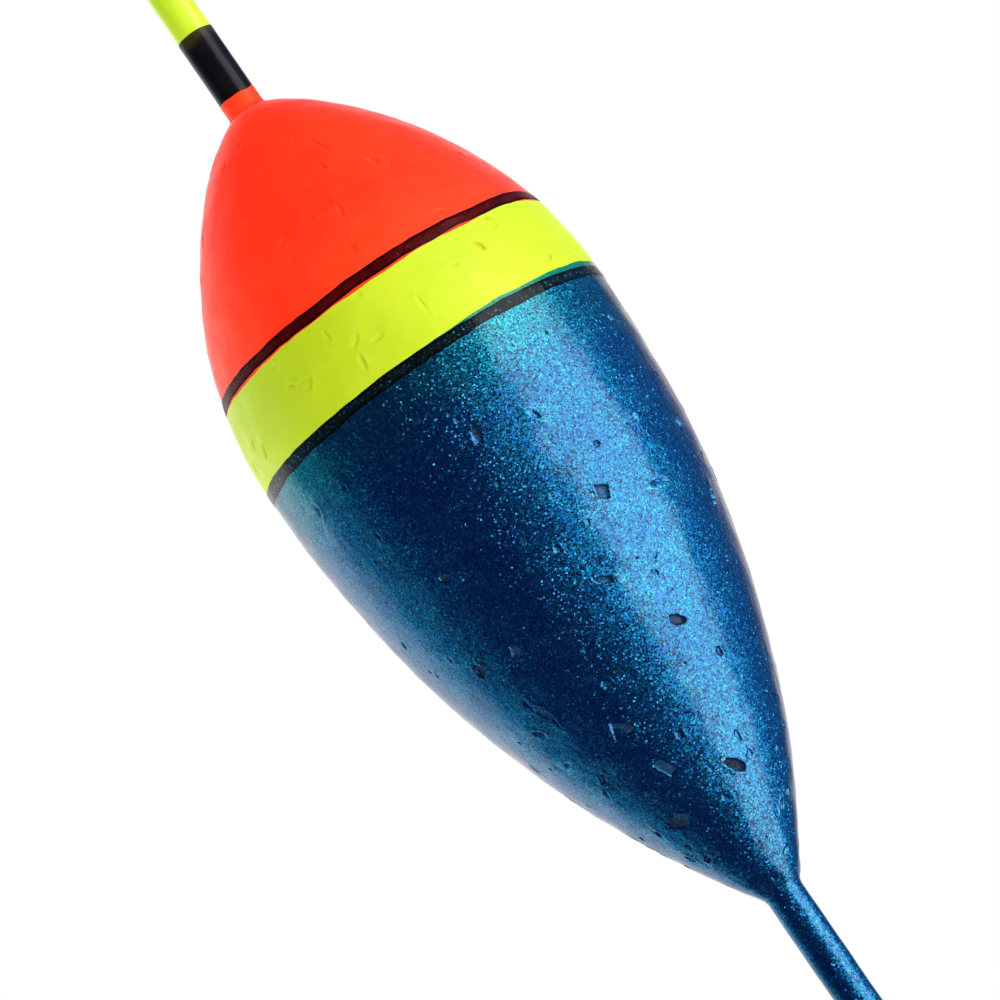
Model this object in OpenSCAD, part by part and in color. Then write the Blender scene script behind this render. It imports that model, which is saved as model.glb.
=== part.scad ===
// Bobber float: a foam body on a through stem, with painted bands, a moulded line eye
// and three silicone sleeves that slide along the stem.
// Millimetres. +Z runs up the stem. The origin is the centre of the line eye.

/* [Body] */
// Largest diameter of the painted body
body_d = 30.84; // [24:0.02:40]
// Height of the crown curve from the widest circle to its apex
crown_h = 25.96; // [20:0.02:32]
// Depth of the taper curve from the widest circle to its apex
taper_h = 49.8; // [40:0.1:62]
// Inner exponent of the crown curve, larger is boxier
crown_p = 1.871; // [1.7:0.001:2.2]
// Outer exponent of the crown curve, smaller is blunter
crown_q = 0.704; // [0.55:0.001:0.85]
// Inner exponent of the taper curve, larger is boxier
taper_p = 2.143; // [1.9:0.001:2.5]
// Outer exponent of the taper curve, larger is more pointed
taper_q = 0.935; // [0.8:0.001:1.1]

/* [Painted bands] */
// Height of the yellow band above the widest circle
yellow_band_h = 6.74; // [3:0.02:10]
// Height of each black line
black_line_h = 1.04; // [0.4:0.02:2]
// Thickness of the white undercoat
undercoat_t = 0.08; // [0.05:0.01:0.15]
// Thickness of the colour coats on the body, with their lacquer
colour_t = 0.12; // [0.08:0.01:0.2]
// Thickness of the black ink lines
black_line_t = 0.04; // [0.02:0.01:0.08]
// Thickness of the paint on the stem
stem_paint_t = 0.05; // [0.04:0.01:0.08]
// Height of the orange paint on the stem above the crown
painted_neck_h = 1.5; // [1.2:0.1:4]

/* [Stem] */
// Outside diameter of the stem tube
tube_d = 3.0; // [2.4:0.1:3.6]
// Wall of the stem tube
tube_wall = 0.5; // [0.4:0.05:0.6]
// Length of the bare antenna above the crown
antenna_len = 62.5; // [50:0.5:90]
// Length of the keel below the body
keel_len = 58; // [54:0.5:80]
// Thickness of the glue between stem and foam
stem_glue_t = 0.1; // [0.05:0.01:0.2]
// Size of the glue fillet where the stem leaves the body
glue_fillet = 0.7; // [0.4:0.05:0.9]
// Height of the black band on the antenna
antenna_band_h = 5.9; // [3:0.1:10]
// Thickness of the antenna band's ink
antenna_band_t = 0.03; // [0.02:0.01:0.04]

/* [Line eye] */
// Diameter of the hole that the line goes through
eye_hole_d = 1.7; // [1.2:0.1:1.8]
// Thickness of the flat eye
eye_t = 1.2; // [0.8:0.1:1.6]
// Length of the eye plug's spigot inside the stem
eye_spigot = 7; // [5:0.5:12]

/* [Silicone sleeves] */
// Length of each sleeve
sleeve_len = 8; // [6:0.5:10]
// Wall of each sleeve
sleeve_wall = 0.65; // [0.4:0.05:1]
// Gap between a sleeve and the stem under it
sleeve_gap = 0.05; // [0.04:0.01:0.08]
// Height of the antenna sleeve's lower end above the crown
antenna_sleeve_up = 24; // [12:0.5:30]
// Drop of the upper keel sleeve's top end below the body
upper_sleeve_drop = 12; // [11:0.5:16]
// Height of the lower keel sleeve's lower end above the keel's end
lower_sleeve_up = 14; // [12:0.5:16]

/* [Hidden] */
$fn = 96;

// Steps along each stretch of the body's outline
crown_steps = 18;
band_steps = 5;
line_steps = 1;
taper_steps = 26;
fillet_steps = 5;
dome_steps = 8;

body_r = body_d / 2;
tube_r = tube_d / 2;
bore_r = tube_r - tube_wall;
stem_skin_r = tube_r + stem_paint_t;
foam_bore_r = tube_r + stem_glue_t;
eye_inset = 0.05;
eye_r = tube_r - eye_inset;
eye_flange = 1;
eye_shoulder = 0.9;
tip_dome_h = 1.5;
tip_spigot = 5;
sleeve_lip = 0.15;
cut_over = 1;

// Radius of the painted body at height u above its widest circle
function crown_r(u) = body_r * pow(1 - pow(u / crown_h, crown_p), crown_q);
function taper_r(u) = body_r * pow(1 - pow(-u / taper_h, taper_p), taper_q);
function body_skin_r(u) = u >= 0 ? crown_r(u) : taper_r(u);

// Height at which each curve reaches radius r
function crown_u(r) = crown_h * pow(1 - pow(r / body_r, 1 / crown_q), 1 / crown_p);
function taper_u(r) = -taper_h * pow(1 - pow(r / body_r, 1 / taper_q), 1 / taper_p);

crown_top = crown_u(stem_skin_r);
taper_bottom = taper_u(stem_skin_r);
keel_end_z = eye_r + eye_shoulder + eye_flange;
widest_z = keel_end_z + keel_len - taper_bottom;
crown_top_z = widest_z + crown_top;
taper_bottom_z = widest_z + taper_bottom;
tube_top_z = crown_top_z + antenna_len;
neck_top_z = crown_top_z + painted_neck_h;

// Heights from u0 to u1, closer together near a stretch's outer end, as on a quarter circle
function heights(u0, u1, reach, steps) = [
    for (i = [0 : steps]) reach * sin(asin(u0 / reach) + (asin(u1 / reach) - asin(u0 / reach)) * i / steps)
];

// The corner between the body and the stem, as a quadratic curve through a control corner
function bend(a, corner, b, t) = (1 - t) * (1 - t) * a + 2 * t * (1 - t) * corner + t * t * b;
function fillet(on_stem, corner, on_body) = [
    for (i = [0 : fillet_steps - 1]) bend(on_stem, corner, on_body, i / fillet_steps)
];
function reversed(points) = [for (i = [len(points) - 1 : -1 : 0]) points[i]];

fillet_r = stem_skin_r + glue_fillet;
crown_start = crown_u(fillet_r);
taper_end = taper_u(fillet_r);
top_reach = norm([crown_top - crown_start, glue_fillet]);
bottom_reach = norm([taper_end - taper_bottom, glue_fillet]);

top_fillet = fillet([stem_skin_r, crown_top + top_reach], [stem_skin_r, crown_top], [fillet_r, crown_start]);
bottom_fillet = reversed(fillet(
    [stem_skin_r, taper_bottom - bottom_reach], [stem_skin_r, taper_bottom], [fillet_r, taper_end]
));

crown_heights = heights(crown_start, yellow_band_h + black_line_h, crown_start, crown_steps);
upper_line_heights = heights(yellow_band_h + black_line_h, yellow_band_h, crown_start, line_steps);
yellow_heights = heights(yellow_band_h, 0, crown_start, band_steps);
lower_line_heights = heights(0, -black_line_h, -taper_end, line_steps);
taper_heights = heights(-black_line_h, taper_end, -taper_end, taper_steps);

// A list without its first item, so that stretches join with no point twice
function rest_of(list) = [for (i = [1 : len(list) - 1]) list[i]];

body_heights = concat(
    crown_heights, rest_of(upper_line_heights), rest_of(yellow_heights),
    rest_of(lower_line_heights), rest_of(taper_heights)
);

// The painted skin from the top fillet down to the bottom fillet, as [radius, height]
skin = concat(top_fillet, [for (u = body_heights) [body_skin_r(u), u]], bottom_fillet);

// Where each stretch starts in the skin
crown_i = fillet_steps;
upper_line_i = crown_i + crown_steps;
yellow_i = upper_line_i + line_steps;
lower_line_i = yellow_i + band_steps;
taper_i = lower_line_i + line_steps;
taper_end_i = taper_i + taper_steps;
last_i = len(skin) - 1;

// Outward normal of the skin at point i
function skin_normal(i) =
    let (run = skin[min(i + 1, last_i)] - skin[max(i - 1, 0)])
    i == 0 || i == last_i ? [1, 0] : [-run[1], run[0]] / norm(run);

// Share of the body's coat thickness at point i: none on the stem, rising as the fillet does
function on_body(i) = pow(min(1, i / crown_i, (last_i - i) / (last_i - taper_end_i)), 2);

// The skin moved inward by depth on the body, and by the stem's own paint on the stem
function under(depth, from, to) = [
    for (i = [from : to])
        let (d = stem_paint_t + (depth - stem_paint_t) * on_body(i))
        skin[i] - d * skin_normal(i)
];
function over(height, from, to) = [for (i = [from : to]) skin[i] + height * skin_normal(i)];
function skin_part(from, to) = [for (i = [from : to]) skin[i]];

foam_depth = colour_t + undercoat_t;
foam_outline = under(foam_depth, crown_i, taper_end_i);
foam_top = foam_outline[0][1];
foam_bottom = foam_outline[len(foam_outline) - 1][1];

// Turns an outline about the stem
module turned(outline) {
    rotate_extrude() polygon(outline);
}

// Turns an outline whose heights are counted from the widest circle
module turned_body(outline) {
    translate([0, 0, widest_z]) turned(outline);
}

// A coat between two lines that run down the body
module coat(outside, inside) {
    turned_body(concat(outside, reversed(inside)));
}

// A straight tube wall from height z0 to z1
module ring(r_out, r_in, z0, z1) {
    translate([0, 0, z0]) difference() {
        cylinder(r = r_out, h = z1 - z0);
        translate([0, 0, -cut_over]) cylinder(r = r_in, h = z1 - z0 + 2 * cut_over);
    }
}

// A sleeve with its lower end at height z, and its end edges rounded off
module sleeve(bore, z) {
    out = bore + sleeve_wall;
    translate([0, 0, z]) turned([
        [bore, 0], [out - sleeve_lip, 0], [out, sleeve_lip],
        [out, sleeve_len - sleeve_lip], [out - sleeve_lip, sleeve_len], [bore, sleeve_len]
    ]);
}

module foam_body() {
    color("ivory") turned_body(concat(foam_outline, [[foam_bore_r, foam_bottom], [foam_bore_r, foam_top]]));
}

module white_undercoat() {
    color("white") coat(under(colour_t, 1, last_i - 1), under(foam_depth, 1, last_i - 1));
}

module orange_coat() {
    neck_outside = [[stem_skin_r, crown_top + painted_neck_h]];
    neck_inside = [[tube_r, crown_top + painted_neck_h]];
    color([1, 0.22, 0.08]) coat(
        concat(neck_outside, skin_part(0, yellow_i)), concat(neck_inside, under(colour_t, 0, yellow_i))
    );
}

module yellow_coat() {
    color([0.88, 1, 0.2]) coat(skin_part(yellow_i, lower_line_i), under(colour_t, yellow_i, lower_line_i));
}

module blue_coat() {
    color([0.06, 0.32, 0.62]) coat(skin_part(lower_line_i, last_i), under(colour_t, lower_line_i, last_i));
}

module upper_black_line() {
    color("black") coat(over(black_line_t, upper_line_i, yellow_i), skin_part(upper_line_i, yellow_i));
}

module lower_black_line() {
    color("black") coat(over(black_line_t, lower_line_i, taper_i), skin_part(lower_line_i, taper_i));
}

module stem_tube() {
    color([0.85, 0.98, 0.15]) ring(tube_r, bore_r, keel_end_z, tube_top_z);
}

module stem_glue() {
    color("khaki") ring(foam_bore_r, tube_r, widest_z + foam_bottom, widest_z + foam_top);
}

module top_glue_fillet() {
    color("khaki") turned_body(concat(under(foam_depth, 0, crown_i), [[tube_r, foam_top]]));
}

module bottom_glue_fillet() {
    color("khaki") turned_body(concat([[tube_r, foam_bottom]], under(foam_depth, taper_end_i, last_i)));
}

module keel_paint() {
    color([0.05, 0.28, 0.55]) ring(stem_skin_r, tube_r, keel_end_z, widest_z + skin[last_i][1]);
}

module antenna_black_band() {
    color([0.08, 0.08, 0.08]) ring(tube_r + antenna_band_t, tube_r, neck_top_z, neck_top_z + antenna_band_h);
}

// A rounded head on the tube's end, with a spigot in its bore
module antenna_tip_plug() {
    dome = [
        for (i = [0 : dome_steps])
            let (a = 90 * i / dome_steps)
            [tube_r * cos(a), tip_dome_h * sin(a)]
    ];
    color([0.85, 0.98, 0.15]) translate([0, 0, tube_top_z]) turned(concat(
        dome, [[0, -tip_spigot], [bore_r, -tip_spigot], [bore_r, 0]]
    ));
}

// A spigot in the stem's bore, a round flange, and a flat eye that a cone joins to the flange
module line_eye_plug() {
    flange_z = keel_end_z - eye_flange;
    color([0.12, 0.12, 0.13]) difference() {
        union() {
            translate([0, 0, flange_z]) cylinder(r = bore_r, h = eye_flange + eye_spigot);
            translate([0, 0, flange_z]) cylinder(r = tube_r, h = eye_flange);
            translate([0, 0, flange_z - eye_shoulder])
                cylinder(r1 = eye_t / 2, r2 = tube_r, h = eye_shoulder);
            rotate([90, 0, 0]) cylinder(r = eye_r, h = eye_t, center = true);
            translate([-eye_r, -eye_t / 2, 0]) cube([2 * eye_r, eye_t, flange_z]);
        }
        rotate([90, 0, 0]) cylinder(d = eye_hole_d, h = 2 * tube_d, center = true);
    }
}

module antenna_sleeve() {
    color([0.1, 0.1, 0.1]) sleeve(tube_r + sleeve_gap, crown_top_z + antenna_sleeve_up);
}

module upper_keel_sleeve() {
    color([0.1, 0.1, 0.1]) sleeve(stem_skin_r + sleeve_gap, taper_bottom_z - upper_sleeve_drop - sleeve_len);
}

module lower_keel_sleeve() {
    color([0.1, 0.1, 0.1]) sleeve(stem_skin_r + sleeve_gap, keel_end_z + lower_sleeve_up);
}

foam_body();
white_undercoat();
orange_coat();
yellow_coat();
blue_coat();
upper_black_line();
lower_black_line();
stem_tube();
stem_glue();
top_glue_fillet();
bottom_glue_fillet();
keel_paint();
antenna_black_band();
antenna_tip_plug();
line_eye_plug();
antenna_sleeve();
upper_keel_sleeve();
lower_keel_sleeve();
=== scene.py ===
# Looks of a bobber float: hand-painted foam on a plastic stem. Lengths are in mm unless a name says otherwise, and
# angles are in degrees round the stem from the -Y side, where the camera stands, towards +X.
import math

import bmesh
import bpy
import numpy as np
from mathutils import Matrix, Vector


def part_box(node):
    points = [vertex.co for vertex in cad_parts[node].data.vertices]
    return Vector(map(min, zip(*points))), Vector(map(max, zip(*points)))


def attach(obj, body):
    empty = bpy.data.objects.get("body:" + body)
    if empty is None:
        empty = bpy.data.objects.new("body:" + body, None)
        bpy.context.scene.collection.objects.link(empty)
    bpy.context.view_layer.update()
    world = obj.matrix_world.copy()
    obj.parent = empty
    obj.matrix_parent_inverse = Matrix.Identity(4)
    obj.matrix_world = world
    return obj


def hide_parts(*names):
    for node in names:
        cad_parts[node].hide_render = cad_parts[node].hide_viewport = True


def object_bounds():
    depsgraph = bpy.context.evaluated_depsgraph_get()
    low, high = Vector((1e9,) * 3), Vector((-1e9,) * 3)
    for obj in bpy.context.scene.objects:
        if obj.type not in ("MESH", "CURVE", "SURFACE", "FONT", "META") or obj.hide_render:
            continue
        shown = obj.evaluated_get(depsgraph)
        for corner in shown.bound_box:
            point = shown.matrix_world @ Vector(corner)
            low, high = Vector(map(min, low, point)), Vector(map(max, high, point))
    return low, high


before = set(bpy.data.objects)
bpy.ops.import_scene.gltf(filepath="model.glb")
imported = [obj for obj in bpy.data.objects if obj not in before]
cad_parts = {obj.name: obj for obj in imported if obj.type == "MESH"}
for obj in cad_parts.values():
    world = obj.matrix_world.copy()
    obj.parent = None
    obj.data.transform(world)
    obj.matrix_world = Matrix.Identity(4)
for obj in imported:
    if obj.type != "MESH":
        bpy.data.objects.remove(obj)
cad_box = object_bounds()

MM = 0.001
TAU = 2 * math.pi


def top_of(node):
    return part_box(node)[1].z / MM


def bottom_of(node):
    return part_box(node)[0].z / MM


def radius_of(node):
    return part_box(node)[1].x / MM


# ---------------------------------------------------------------- dimensions
BODY_R = radius_of("blue_coat")
TUBE_R = radius_of("stem_tube")
STEM_SKIN_R = radius_of("keel_paint")
BORE_R = TUBE_R - 0.5
WIDEST_Z = bottom_of("yellow_coat")
YELLOW_TOP_Z = top_of("yellow_coat")
NECK_TOP_Z = top_of("orange_coat")
BLUE_BOTTOM_Z = bottom_of("blue_coat")
LINE_H = 0.98
LINE_SHIFT = -0.4
NECK_FILLET = 0.3
KEEL_FILLET = 0.14

# Each curve: radius = BODY_R * (1 - (height / reach) ** inner) ** outer
CROWN = {"reach": 25.96, "inner": 1.871, "outer": 0.704}
TAPER = {"reach": 49.8, "inner": 2.143, "outer": 0.935}

COLOUR_T = 0.12
UNDERCOAT_T = 0.08
INK_T = 0.035

COLUMNS = 312
UNDER_COLUMNS = COLUMNS // 4
SKIN_STEP = 0.31
UNDER_STEP = 0.9
UNDER_END = 2.6
REFINE = 3


# ---------------------------------------------------------------- the painted outline
def curve_radius(height, curve):
    return BODY_R * (1 - (height / curve["reach"]) ** curve["inner"]) ** curve["outer"]


def curve_height(radius, curve):
    return curve["reach"] * (1 - (radius / BODY_R) ** (1 / curve["outer"])) ** (1 / curve["inner"])


def bend(start, corner, end, steps=60):
    t = np.linspace(0, 1, steps)[:, None]
    return (1 - t) ** 2 * np.array(start) + 2 * t * (1 - t) * np.array(corner) + t ** 2 * np.array(end)


def body_outline():
    """The painted skin from the neck's top to the keel: distance along, radius, height and outward normal."""
    neck_r, keel_r = STEM_SKIN_R + NECK_FILLET, STEM_SKIN_R + KEEL_FILLET
    crown_start, crown_top = curve_height(neck_r, CROWN), curve_height(STEM_SKIN_R, CROWN)
    taper_end, taper_bottom = curve_height(keel_r, TAPER), curve_height(STEM_SKIN_R, TAPER)
    top_reach = math.hypot(crown_top - crown_start, NECK_FILLET)
    bottom_reach = math.hypot(taper_bottom - taper_end, KEEL_FILLET)
    up = np.sin(np.linspace(math.asin(1), 0, 900)) * crown_start
    down = np.sin(np.linspace(0, math.asin(1), 1400)) * taper_end
    points = np.concatenate([
        [[STEM_SKIN_R, NECK_TOP_Z - WIDEST_Z]],
        bend([STEM_SKIN_R, crown_top + top_reach], [STEM_SKIN_R, crown_top], [neck_r, crown_start])[:-1],
        np.stack([curve_radius(up, CROWN), up], 1),
        np.stack([curve_radius(down, TAPER), -down], 1)[1:],
        bend([keel_r, -taper_end], [STEM_SKIN_R, -taper_bottom], [STEM_SKIN_R, -taper_bottom - bottom_reach])[1:],
    ])
    run = np.gradient(points, axis=0)
    run /= np.linalg.norm(run, axis=1)[:, None]
    along = np.concatenate([[0], np.cumsum(np.linalg.norm(np.diff(points, axis=0), axis=1))])
    return along, points[:, 0], points[:, 1] + WIDEST_Z, -run[:, 1], run[:, 0]


ALONG, OUT_R, OUT_Z, OUT_NR, OUT_NZ = body_outline()
NECK_CREASE = ALONG[OUT_R > STEM_SKIN_R + 0.12][0]


def along_at(z):
    return np.interp(-z, -OUT_Z, ALONG)


def outline_at(s):
    return [np.interp(s, ALONG, values) for values in (OUT_R, OUT_Z, OUT_NR, OUT_NZ)]


def polar(angle, r, z):
    """Points at an angle in radians from the -Y side towards +X."""
    return np.stack(np.broadcast_arrays(r * np.sin(angle), -r * np.cos(angle), z), -1)


def smooth(x, start=0.0, end=1.0):
    t = np.clip((x - start) / (end - start), 0, 1)
    return t * t * (3 - 2 * t)


def waves(points, size, seed, count=26):
    """A smooth random field, about 1 high and with bumps about size mm across."""
    rng = np.random.default_rng(seed)
    direction = rng.normal(size=(count, points.shape[-1]))
    direction /= np.linalg.norm(direction, axis=1)[:, None]
    turns = direction * TAU / (2 * size * rng.uniform(0.7, 1.5, (count, 1)))
    shift = rng.uniform(0, TAU, count)
    total = np.zeros(points.shape[:-1])
    for turn, start in zip(turns, shift):
        total += np.sin(points @ turn + start)
    return total / math.sqrt(count / 2)


# ---------------------------------------------------------------- relief of the paint
# Voids of the foam that the paint runs into: angle, drop below the widest circle, width, height, turn, depth
PLACED_VOIDS = [
    (24, 16.7, 1.0, 1.1, 20, 0.26),
    (31, 13.4, 0.7, 0.6, 50, 0.14),
    (26, 27.4, 1.5, 1.0, 35, 0.28),
    (-40, 27.3, 0.7, 2.6, -12, 0.22),
    (10, 22.3, 1.7, 0.7, 30, 0.22),
    (21, 38.6, 2.2, 0.9, 45, 0.40),
    (-11, 28.5, 0.7, 0.8, 10, 0.15),
    (2, 18.5, 0.6, 0.7, 5, 0.12),
    (-27, 16.1, 0.8, 0.6, -25, 0.16),
    (-47, 22.1, 0.8, 1.2, 15, 0.18),
    (38, 30.9, 0.8, 0.7, 60, 0.16),
    (1, 34.5, 0.7, 0.8, 0, 0.13),
]
WALL = 0.1
LIP = 0.03


def scattered_voids(count, seed, drop_range, size_range, depth_share, tilt=0.35):
    rng = np.random.default_rng(seed)
    out = []
    for _ in range(count):
        size = rng.uniform(*size_range)
        shape = rng.uniform(0.6, 1.6) if tilt < 1 else rng.uniform(0.5, 0.75)
        out.append((
            rng.uniform(-180, 180), rng.uniform(*drop_range), size * shape, size / shape,
            rng.uniform(-90, 90), size * depth_share * rng.uniform(0.6, 1.3), tilt,
        ))
    return out


# Voids are cut in the foam. Nicks are dents of a fingernail or a box's edge, steep on one side only.
VOIDS = (
    [(*void, 0.35) for void in PLACED_VOIDS]
    + scattered_voids(130, 11, (3, 46), (0.35, 0.8), 0.17)
    + scattered_voids(26, 12, (5, 44), (0.8, 1.5), 0.17)
    + scattered_voids(54, 13, (-24, -8), (0.45, 0.9), 0.075, 1.0)
    + scattered_voids(60, 14, (-6, -0.8), (0.45, 0.95), 0.1, 1.0)
    + scattered_voids(24, 15, (3, 46), (0.5, 1.0), 0.09, 1.0)
)


def void_edges(angle, s, r, margin):
    """For each void: the points within a margin of it, how far outside its edge they lie, depth and floor."""
    rng = np.random.default_rng(21)
    for centre, drop, width, height, turn, depth, tilt in VOIDS:
        sides = rng.integers(4, 7)
        facing = (np.arange(sides) + rng.uniform(-0.25, 0.25, sides)) * TAU / sides
        set_back = rng.uniform(0.65, 1.15, sides)
        slope = rng.uniform(-0.35, 0.35, 2) if tilt < 1 else np.array([1.0, 0.0])
        across = (angle - math.radians(centre) + math.pi) % TAU - math.pi
        down = s - along_at(WIDEST_Z - drop)
        reach = max(width, height) + margin
        near = (np.abs(across * r) < reach) & (np.abs(down) < reach)
        if not near.any():
            continue
        x, y = (across * r)[near], down[near]
        c, w = math.cos(math.radians(turn)), math.sin(math.radians(turn))
        x, y = (x * c + y * w) / (width / 2), (y * c - x * w) / (height / 2)
        if tilt < 1:
            outside = np.max([x * math.cos(a) + y * math.sin(a) - b for a, b in zip(facing, set_back)], axis=0)
        else:
            outside = np.hypot(x, y) - 1
        floor = 1 + slope[0] * np.clip(x, -1, 1) + slope[1] * np.clip(y, -1, 1)
        yield near, outside * min(width, height) / 2, depth, floor


def void_relief(angle, s, r, grow=0.0):
    """Depth of the voids, below 0, with a slight lip. Grown voids leave room under the skin's own."""
    relief = np.zeros(np.broadcast(angle, s).shape)
    for near, outside, depth, floor in void_edges(angle, s, r, grow + 1):
        outside = outside - grow
        lip = LIP * min(1, depth / 0.15) * np.exp(-((outside - 0.1) / 0.12) ** 2) * (grow == 0) * floor
        relief[near] += lip - depth * floor * smooth(-outside, 0, WALL)
    return relief


def by_a_wall(angle, s):
    """Where the skin's mesh has to be fine."""
    found = np.zeros(np.broadcast(angle, s).shape, bool)
    for near, outside, depth, floor in void_edges(angle, s, outline_at(s)[0], 1):
        found[near] |= (outside > -WALL - 0.25) & (outside < 0.2)
    return found


def relief(angle, s, grow=0.0):
    """Height of the painted surface above its outline."""
    r, z, _, _ = outline_at(s)
    points = polar(angle, r, z)
    on_body = smooth(r, STEM_SKIN_R + 0.2, STEM_SKIN_R + 2.5)
    lumps = 0.035 * waves(points, 5.0, 1) + 0.014 * waves(points, 1.6, 2)
    peel = 0.0028 * waves(points, 0.5, 3)
    streaks = -0.02 * smooth(waves(points * [1, 1, 0.09], 0.4, 4), 1.2, 2.2)
    crease = -0.05 * np.exp(-((s - NECK_CREASE) / 0.13) ** 2)
    bead = smooth(ALONG[-1] - s, 0.1, 0.8) * smooth(ALONG[-1] - s, 3.0, 1.2)
    thick = bead * np.clip(0.03 + 0.05 * waves(points, 0.9, 5), -0.02, 0.1)
    side = (angle - math.radians(-50) + math.pi) % TAU - math.pi
    run = 0.12 * np.exp(-((side * r) / 0.9) ** 2 - ((ALONG[-1] - s - 2.1) / 0.45) ** 2)
    run -= 0.1 * np.exp(-((side * r) / 0.5) ** 2 - ((ALONG[-1] - s - 1.4) / 0.14) ** 2)
    own = (lumps + peel + streaks) * on_body + thick + run + crease
    return (own if grow == 0 else lumps * on_body) + void_relief(angle, s, r, grow) * on_body


def skin_points(angle, s, lift, grow=0.0):
    r, z, nr, nz = outline_at(s)
    rise = lift + relief(angle, s, grow)
    return polar(angle, r + nr * rise, z + nz * rise), rise


# ---------------------------------------------------------------- mesh building
def ring_faces(rows, columns, start=0, flip=False):
    """Quads between rows of closed rings."""
    here = np.arange(columns)
    there = (here + 1) % columns
    faces = []
    for row in range(rows - 1):
        a, b = start + row * columns, start + (row + 1) * columns
        quads = np.stack([a + here, b + here, b + there, a + there], 1)
        faces.extend((quads[:, ::-1] if flip else quads).tolist())
    return faces


def rim_faces(outer_start, outer_columns, inner_start, inner_columns, flip):
    """Faces that close the gap between a fine ring and a coarser one."""
    step = outer_columns // inner_columns
    faces = []
    for k in range(inner_columns):
        fine = [outer_start + (k * step + i) % outer_columns for i in range(step + 1)]
        face = fine + [inner_start + (k + 1) % inner_columns, inner_start + k]
        faces.append(face[::-1] if flip else face)
    return faces


def new_piece(name, points, faces, marks=None, body="float", smooth_angle=35):
    mesh = bpy.data.meshes.new(name)
    mesh.from_pydata((np.asarray(points) * MM).tolist(), [], faces)
    for mark, values in (marks or {}).items():
        mesh.attributes.new(mark, "FLOAT", "POINT").data.foreach_set("value", np.asarray(values, np.float32))
    mesh.update()
    mesh.shade_smooth()
    mesh.set_sharp_from_angle(angle=math.radians(smooth_angle))
    piece = bpy.data.objects.new(name, mesh)
    bpy.context.scene.collection.objects.link(piece)
    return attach(piece, body)


def finish_piece(piece, material, slot, *nodes):
    piece.data.materials.append(material)
    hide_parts(*nodes)
    return piece


def angles(columns):
    return np.arange(columns) * TAU / columns


def refined_cells(fine):
    """Where a ring grid has vertices, and its faces, when each cell marked in fine is cut into smaller ones."""
    rows, columns = fine.shape
    k, wide = REFINE, columns * REFINE
    down, across = np.nonzero(fine)
    used = np.zeros((rows * k + 1, wide), bool)
    used[::k, ::k] = True
    for i in range(k + 1):
        for j in range(k + 1):
            used[down * k + i, (across * k + j) % wide] = True
    index = (np.cumsum(used) - 1).reshape(used.shape)
    faces = []
    for i in range(k):
        for j in range(k):
            y, x0, x1 = down * k + i, across * k + j, (across * k + j + 1) % wide
            faces += np.stack([index[y, x0], index[y + 1, x0], index[y + 1, x1], index[y, x1]], 1).tolist()
    for row, column in zip(*np.nonzero(~fine)):
        y0, x0 = row * k, column * k
        round_cell = [(y0 + i, x0) for i in range(k)] + [(y0 + k, x0 + i) for i in range(k)]
        round_cell += [(y0 + k - i, x0 + k) for i in range(k)] + [(y0, x0 + k - i) for i in range(k)]
        faces.append([int(index[y, x % wide]) for y, x in round_cell if used[y, x % wide]])
    return used, faces


def skin_shell(name, top_border, bottom_border, depth, lift=0.0):
    """A coat between two borders, each a function from angle to distance along the outline."""
    fine_angles = angles(COLUMNS * REFINE)
    top, bottom = top_border(fine_angles), bottom_border(fine_angles)
    reach = bottom - top
    rows = int(round(np.mean(reach) / SKIN_STEP))
    middle = slice(REFINE // 2, None, REFINE)
    cell_s = top[middle] + reach[middle] * (np.arange(rows)[:, None] + 0.5) / rows
    fine = by_a_wall(np.broadcast_to(fine_angles[middle], cell_s.shape), cell_s)
    fine[[0, -1]] = False
    used, faces = refined_cells(fine)
    down, across = np.nonzero(used)
    s = top[across] + reach[across] * down / (rows * REFINE)
    outer, rise = skin_points(fine_angles[across], s, lift)

    step = COLUMNS * REFINE // UNDER_COLUMNS
    under_rows = max(2, int(round(np.mean(reach) / UNDER_STEP)))
    ends = np.linspace(0, min(0.5, UNDER_END / np.mean(reach)), 12)
    share = np.unique(np.concatenate([np.linspace(0, 1, under_rows), ends, 1 - ends]).round(5))
    under_rows = len(share)
    under_s = top[::step] + reach[::step] * share[:, None]
    r = outline_at(under_s)[0]
    depths = 0.05 + (depth - 0.05) * smooth(r, STEM_SKIN_R, STEM_SKIN_R + 0.7)
    inner, _ = skin_points(np.broadcast_to(fine_angles[::step], under_s.shape), under_s, -depths, 0.9)
    first = len(outer)
    last_outer, last_inner = first - COLUMNS, first + (under_rows - 1) * UNDER_COLUMNS
    faces += ring_faces(under_rows, UNDER_COLUMNS, first, flip=True)
    faces += rim_faces(0, COLUMNS, first, UNDER_COLUMNS, flip=False)
    faces += rim_faces(last_outer, COLUMNS, last_inner, UNDER_COLUMNS, flip=True)
    pad = np.zeros(inner[..., 0].size)
    marks = {
        "from_top": np.concatenate([s - top[across], pad]),
        "from_bottom": np.concatenate([bottom[across] - s, pad]),
        "sunk": np.concatenate([np.clip(-rise - 0.06, 0, None), pad]),
    }
    return new_piece(name, np.concatenate([outer, inner.reshape(-1, 3)]), faces, marks)


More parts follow.
